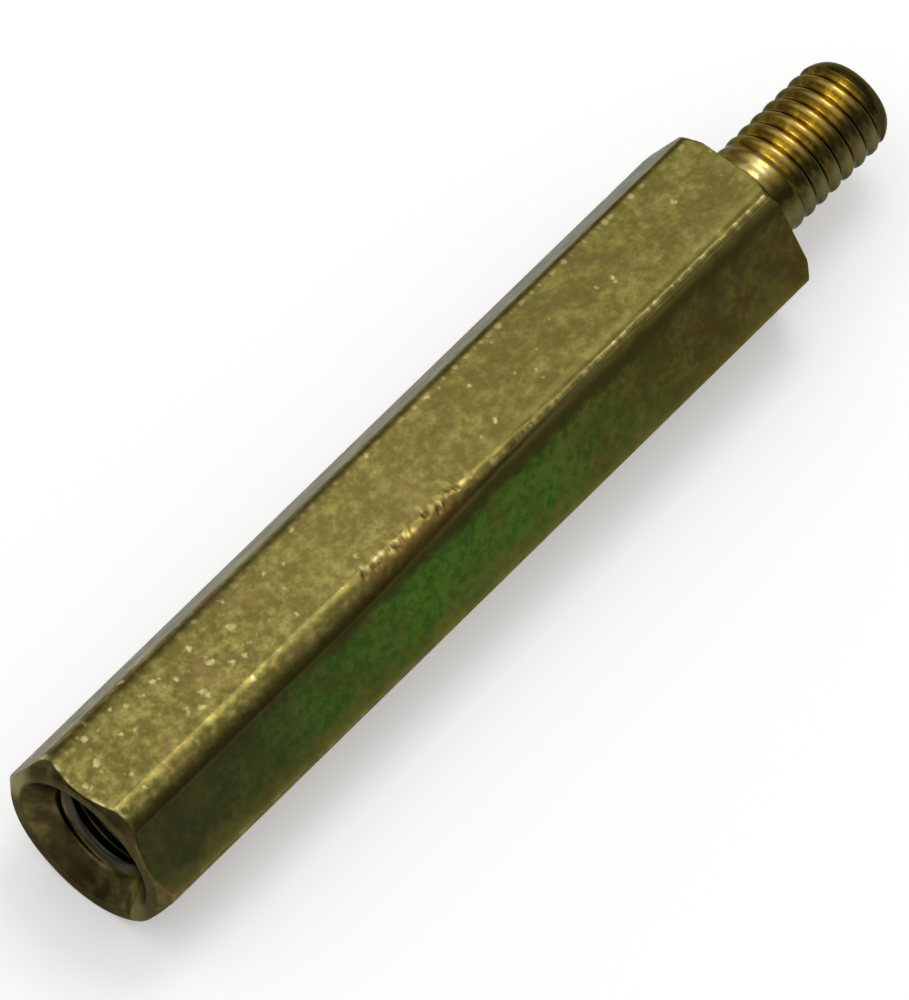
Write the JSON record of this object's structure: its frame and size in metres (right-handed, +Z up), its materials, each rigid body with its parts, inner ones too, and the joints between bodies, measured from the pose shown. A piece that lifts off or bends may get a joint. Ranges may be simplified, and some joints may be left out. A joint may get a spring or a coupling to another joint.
{
  "type": "hex standoff",
  "caption": "Brass hexagonal spacer with a blind tapped hole in one end and a threaded stud on the other, for mounting boards and panels.",
  "frame": {"origin": "centre of the female end's seat face, on the thread axis", "axes": "+X along the thread axis, out of the stud's tip; +Z up, out of one of the six flats, with the body lying on the opposite flat"},
  "size_m": [0.03, 0.0056, 0.005],
  "materials": {
    "brass": "drawn and turned bare brass, dull and slightly tarnished, with small nicks along the edges"
  },
  "bodies": {
    "root": {"hex_standoff": "brass"}
  },
  "joints": []
}
